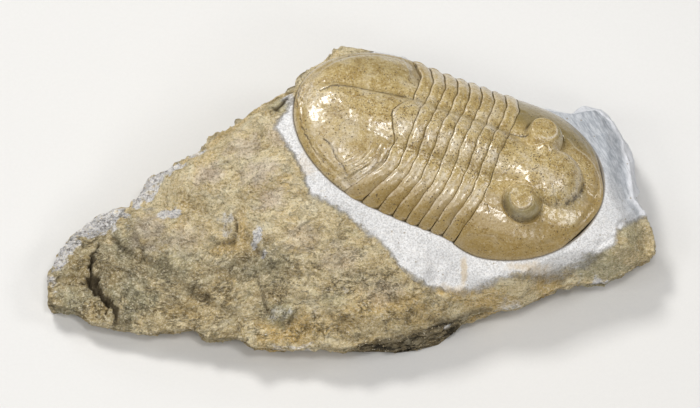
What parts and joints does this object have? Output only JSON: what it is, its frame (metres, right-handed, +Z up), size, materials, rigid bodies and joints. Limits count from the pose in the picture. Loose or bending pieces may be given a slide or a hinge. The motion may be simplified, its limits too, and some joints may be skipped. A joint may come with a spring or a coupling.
{
  "type": "trilobite fossil",
  "caption": "Outstretched asaphid trilobite, back up, with turret eyes, a jointed thorax and a smooth tail shield, bedded in a wedge of weathered limestone with a flat foot.",
  "frame": {"origin": "centre of the bounding box in plan, on the plane that the rock's flat foot rests on", "axes": "+X along the rock's length, from its low tip towards the trilobite's head end; +Y away from the long front edge; +Z up, out of the face that carries the fossil"},
  "size_m": [0.149, 0.0776, 0.0399],
  "materials": {
    "limestone": "matt, rough, weathered tan limestone, with a pale air-abraded band round the fossil and a bluish-grey prepared slope behind the head",
    "shell": "fossil shell in caramel calcite, smooth and semi-gloss, with fine dark pits and terrace lines"
  },
  "bodies": {
    "root": {"matrix": "limestone", "cephalon": "shell", "thoracic_segment_1": "shell", "thoracic_segment_2": "shell", "thoracic_segment_3": "shell", "thoracic_segment_4": "shell", "thoracic_segment_5": "shell", "thoracic_segment_6": "shell", "thoracic_segment_7": "shell", "thoracic_segment_8": "shell", "pygidium": "shell"}
  },
  "joints": []
}
